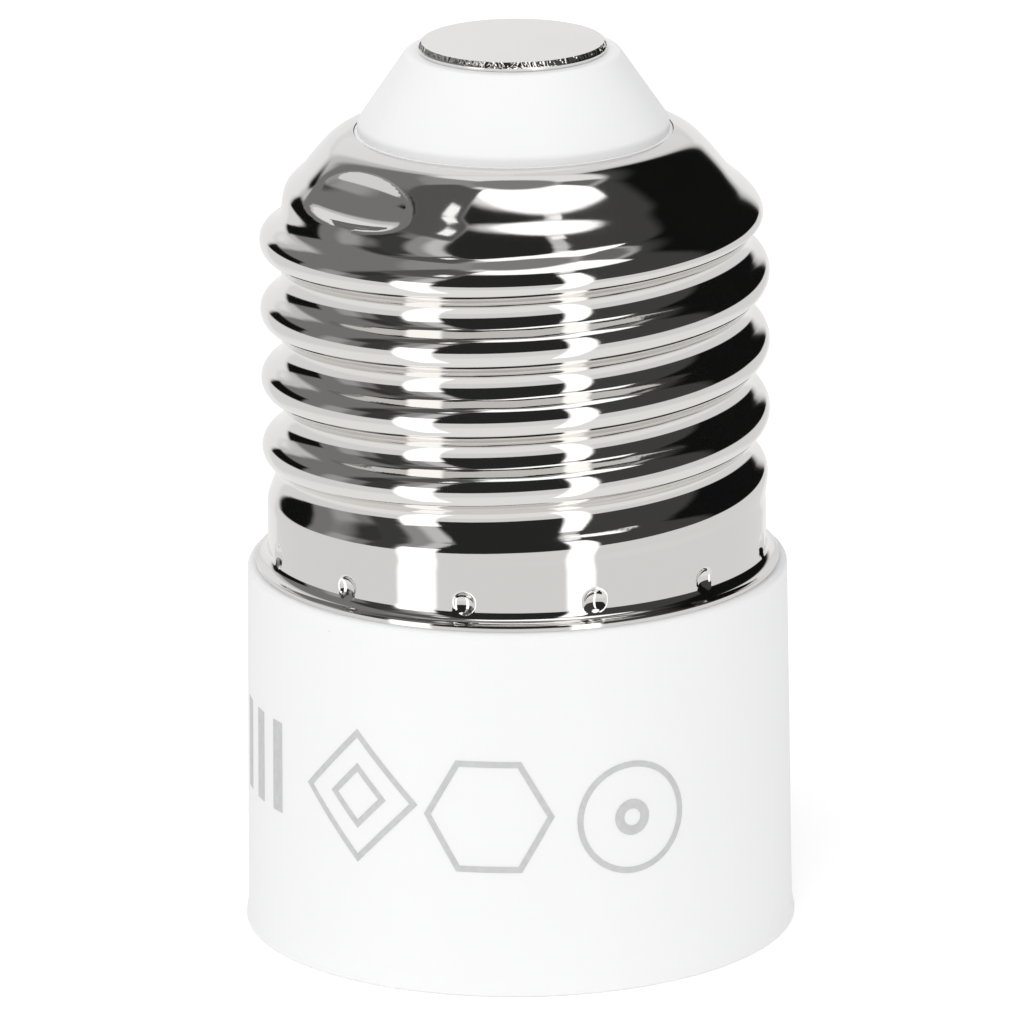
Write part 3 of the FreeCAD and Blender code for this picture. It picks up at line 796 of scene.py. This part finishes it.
contact.data.materials.append(satin_nickel)
sharpen(contact, 30)
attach(contact, "root")
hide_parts("centre_contact")


# Inner sleeve. Thin plated sheet rolled with the thread of the smaller lamp cap, its flange seated
# on the ledge inside the mouth.
SLEEVE_WALL = 0.3 * MM
SLEEVE_MAJOR = 7.05 * MM
SLEEVE_PITCH = 2.822 * MM
SLEEVE_ARC = 0.822 * MM
SLEEVE_CREST = 12.0 * MM
SLEEVE_BOTTOM = 8.3 * MM
SLEEVE_THREAD_TOP = 22.4 * MM
SLEEVE_FADE = 1.6 * MM
SLEEVE_TOP = 24.1 * MM
FLANGE = 8.6 * MM
FLANGE_BEND = 0.5 * MM
SLEEVE_COLUMNS = 160
sleeve_outside = SLEEVE_MAJOR + SLEEVE_WALL
sleeve_inner = rounded(
    [
        (SLEEVE_MAJOR, SLEEVE_TOP, 0),
        (SLEEVE_MAJOR, MOUTH_DEPTH - SLEEVE_WALL, FLANGE_BEND + SLEEVE_WALL),
        (FLANGE, MOUTH_DEPTH - SLEEVE_WALL, 0),
    ],
    step=0.12 * MM,
)
sleeve_outer = rounded(
    [
        (FLANGE, MOUTH_DEPTH, 0),
        (sleeve_outside, MOUTH_DEPTH, FLANGE_BEND),
        (sleeve_outside, SLEEVE_TOP, 0),
    ],
    step=0.15 * MM,
)
sleeve_inner[0:1] = line_between(sleeve_inner[0], sleeve_inner[1], 0.17 * MM)[:-1]
sleeve_outer[-1:] = line_between(sleeve_outer[-2], sleeve_outer[-1], 0.25 * MM)[1:]
sleeve_azimuths = np.linspace(0, 360, SLEEVE_COLUMNS, endpoint=False)
sleeve = turned("sleeve", sleeve_inner + sleeve_outer, sleeve_azimuths)
sleeve_rows = [0.0] * len(sleeve_inner) + [-SLEEVE_WALL] * len(sleeve_outer)
sleeve_depths = np.repeat(sleeve_rows, SLEEVE_COLUMNS)
plated_sheet = plated_metal(
    "plated sheet",
    colour=(0.76, 0.745, 0.72),
    roughness=0.12,
    spread=0.1,
    grain=1200.0,
    bump=0.002 * MM,
)
roll_thread(
    sleeve,
    roll,
    sleeve_depths,
    plated_sheet,
    pitch=SLEEVE_PITCH,
    arc=SLEEVE_ARC,
    major_radius=SLEEVE_MAJOR,
    crest=SLEEVE_CREST,
    bottom=SLEEVE_BOTTOM,
    top=SLEEVE_THREAD_TOP,
    lower_fade=SLEEVE_FADE,
    upper_fade=SLEEVE_FADE,
)
sleeve.data.attributes.remove(sleeve.data.attributes["skin_depth"])
sleeve.data.shade_smooth()
sharpen(sleeve, 50)
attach(sleeve, "root")
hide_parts("inner_sleeve")


# Strips. The spring is rolled bronze, riveted under the nose by the contact's shank; the link is
# plated sheet, pressed between the sleeve and the shell.
spring_bronze = plated_metal(
    "spring bronze",
    colour=(0.72, 0.52, 0.30),
    roughness=0.24,
    spread=0.12,
    grain=1500.0,
    bump=0.002 * MM,
)
for node, metal in (("contact_strip", spring_bronze), ("link_strip", plated_sheet)):
    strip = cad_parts[node]
    strip.data.materials.clear()
    strip.data.materials.append(metal)


# Studio. A plain pale floor, soft light from all round and a large soft key light from above.
# The metal is a mirror, so the room it looks into is painted on the sky as white panels, grey
# walls and black cards, by the azimuth and the height that each one has from the object.
FLOOR_HALF = 3.0
FLOOR_DROP = 0.02 * MM
SKY_FOR_VIEW = 1.1
SKY_FOR_PLASTIC = 0.70
KEY_AZIMUTH = -18.0
KEY_ELEVATION = 62.0
KEY_DISTANCE = 1.2
KEY_SIZE = 0.9
KEY_POWER = 5.4
ROOM_BRIGHTNESS = 0.6
# Low and high azimuth, low and high elevation, softness of the edges, brightness
ROOM = [
    ("ceiling", -200, 200, 62, 100, 3, 0.90),
    ("ceiling, left", -135, -60, 60, 80, 4, 0.30),
    ("left wall", -140, -58, -10, 62, 4, 0.20),
    ("left wall, dark corner", -88, -70, 22, 48, 5, 0.04),
    ("left wall, top", -90, -40, 48, 73, 2, 0.10),
    ("left wall, lit part", -98, -84, -10, 20, 4, 0.36),
    ("left wall, edge of the panel", -74, -58, -10, 40, 3, 0.05),
    ("left black card", -146, -112, -10, 15, 2, 0.006),
    ("middle wall", -40, 24, -10, 64, 2, 0.022),
    ("right wall", 34, 154, -10, 61, 2, 0.055),
    ("right black card", 96, 154, -10, 54, 5, 0.006),
    ("table", -200, 200, -90, -1, 1.5, 0.78),
    ("table near the object", -200, 200, -90, -26, 5, 0.90),
    ("backdrop, left", -200, -148, -60, 14, 3, 0.90),
    ("backdrop, right", 158, 200, -60, 14, 3, 0.90),
    ("backdrop, upper left", -200, -150, 14, 62, 4, 0.86),
    ("backdrop, upper right", 158, 200, 14, 62, 4, 0.80),
    ("left panel, top", -60, -50, 20, 48, 3, 0.30),
    ("left panel", -57, -38, -56, 21, 1.5, 1.5),
    ("right panel", 23, 36, -52, 50, 1.5, 1.6),
    ("beside the ceiling panel", 70, 112, 62, 77, 3, 0.16),
    ("left panel, far end", -55, -46, 54.5, 60.5, 0.8, 1.2),
    ("right panel, far end", 27, 37, 56.5, 59.0, 0.8, 1.2),
    ("line over the ceiling panel", -200, 200, 77, 92, 1.5, 0.24),
]
# The ceiling panel hangs askew, so its near edge falls with the azimuth
PANEL_AZIMUTHS = (-40, 78)
PANEL_NEAR_EDGE = 63.2
PANEL_FAR_EDGE = 75.5
PANEL_SLANT = 0.11
PANEL_EDGE = 1.0
PANEL_BRIGHTNESS = 1.4
OVER_THE_TOP = 200

floor_mesh = bpy.data.meshes.new("floor")
floor_signs = [(-1, -1), (1, -1), (1, 1), (-1, 1)]
floor_corners = [(x * FLOOR_HALF, y * FLOOR_HALF, -FLOOR_DROP) for x, y in floor_signs]
floor_mesh.from_pydata(floor_corners, [], [(0, 1, 2, 3)])
floor_object = bpy.data.objects.new("floor", floor_mesh)
bpy.context.scene.collection.objects.link(floor_object)
floor_object.visible_glossy = False
floor_paint = bpy.data.materials.new("floor paint")
floor_paint.use_nodes = True
floor_shader = floor_paint.node_tree.nodes["Principled BSDF"]
floor_shader.inputs["Base Color"].default_value = (0.96, 0.96, 0.96, 1)
floor_shader.inputs["Roughness"].default_value = 0.9
floor_shader.inputs["Specular IOR Level"].default_value = 0.1
floor_shader.inputs["Emission Color"].default_value = (1, 1, 1, 1)
floor_shader.inputs["Emission Strength"].default_value = 0.20
floor_mesh.materials.append(floor_paint)

key_data = bpy.data.lights.new("key", "AREA")
key_data.size = KEY_SIZE
key_data.energy = KEY_POWER
key = bpy.data.objects.new("key", key_data)
bpy.context.scene.collection.objects.link(key)
key_level = math.cos(math.radians(KEY_ELEVATION))
key_way = polar(key_level, KEY_AZIMUTH, math.sin(math.radians(KEY_ELEVATION)))
key.location = key_way * KEY_DISTANCE
key.rotation_euler = key_way.to_track_quat("Z", "Y").to_euler()
key.visible_glossy = False

world = bpy.data.worlds.new("studio")
bpy.context.scene.world = world
world.use_nodes = True
sky = world.node_tree
for node in list(sky.nodes):
    sky.nodes.remove(node)
direction = sky.nodes.new("ShaderNodeTexCoord").outputs["Generated"]
split = sky.nodes.new("ShaderNodeSeparateXYZ")
sky.links.new(direction, split.inputs[0])
east, north, upward = split.outputs
wall_azimuth = reckon(sky, "ARCTAN2", east, reckon(sky, "MULTIPLY", north, -1.0))
wall_azimuth = reckon(sky, "MULTIPLY", wall_azimuth, 180 / math.pi)
elevation = reckon(sky, "MULTIPLY", reckon(sky, "ARCSINE", upward), 180 / math.pi)


def soft_span(value, low, high, edge):
    """One inside a span of degrees and zero outside, with soft edges."""
    ends = []
    for start, stop in ((low - edge, low + edge), (high + edge, high - edge)):
        node = sky.nodes.new("ShaderNodeMapRange")
        node.interpolation_type = "SMOOTHSTEP"
        sky.links.new(value, node.inputs["Value"])
        node.inputs["From Min"].default_value = start
        node.inputs["From Max"].default_value = stop
        ends.append(node.outputs["Result"])
    return reckon(sky, "MULTIPLY", ends[0], ends[1])


def mixed(factor, first, second):
    """A brightness that goes from the first to the second with the factor."""
    node = sky.nodes.new("ShaderNodeMix")
    sky.links.new(factor, node.inputs["Factor"])
    for socket, value in zip((node.inputs["A"], node.inputs["B"]), (first, second)):
        if isinstance(value, bpy.types.NodeSocket):
            sky.links.new(value, socket)
        else:
            socket.default_value = value
    return node.outputs["Result"]


room = ROOM_BRIGHTNESS
for _, low_side, high_side, low_up, high_up, edge, brightness in ROOM:
    across_span = soft_span(wall_azimuth, low_side, high_side, edge)
    inside = reckon(sky, "MULTIPLY", across_span, soft_span(elevation, low_up, high_up, edge))
    room = mixed(inside, room, brightness)
slanted = reckon(sky, "ADD", elevation, reckon(sky, "MULTIPLY", wall_azimuth, PANEL_SLANT))
across_span = soft_span(wall_azimuth, *PANEL_AZIMUTHS, PANEL_EDGE)
under_far_edge = soft_span(elevation, 0, PANEL_FAR_EDGE, PANEL_EDGE)
past_near_edge = soft_span(slanted, PANEL_NEAR_EDGE, OVER_THE_TOP, PANEL_EDGE)
inside = reckon(sky, "MULTIPLY", across_span, under_far_edge)
inside = reckon(sky, "MULTIPLY", inside, past_near_edge)
room = mixed(inside, room, PANEL_BRIGHTNESS)
ray = sky.nodes.new("ShaderNodeLightPath")
light = mixed(ray.outputs["Is Glossy Ray"], SKY_FOR_PLASTIC, room)
light = mixed(ray.outputs["Is Camera Ray"], light, SKY_FOR_VIEW)
background = sky.nodes.new("ShaderNodeBackground")
background.inputs["Color"].default_value = (1, 1, 1, 1)
sky.links.new(light, background.inputs["Strength"])
world_out = sky.nodes.new("ShaderNodeOutputWorld")
sky.links.new(background.outputs[0], world_out.inputs["Surface"])
bpy.context.scene.view_settings.view_transform = "Standard"


# Camera. A long lens a little above the rim, square to the front, with the slight lean of the
# photograph.
CAMERA_ELEVATION = 16.305
CAMERA_DISTANCE = 559.3 * MM
CAMERA_ROLL = 0.529
CAMERA_AIM = Vector((-0.254, 0, 21.485)) * MM
FOCAL_PIXELS = 10879.0
IMAGE_PIXELS = 1024.0
SENSOR_WIDTH = 36.0
camera_data = bpy.data.cameras.new("camera")
camera_data.sensor_width = SENSOR_WIDTH
camera_data.lens = SENSOR_WIDTH * FOCAL_PIXELS / IMAGE_PIXELS
camera_data.clip_start = 0.01
camera = bpy.data.objects.new("camera", camera_data)
bpy.context.scene.collection.objects.link(camera)
tilt = math.radians(CAMERA_ELEVATION)
back = Vector((0, -math.cos(tilt), math.sin(tilt)))
look = Matrix.Rotation(math.pi / 2 - tilt, 4, "X") @ Matrix.Rotation(math.radians(-CAMERA_ROLL), 4, "Z")
camera.matrix_world = Matrix.Translation(CAMERA_AIM + back * CAMERA_DISTANCE) @ look
bpy.context.scene.camera = camera
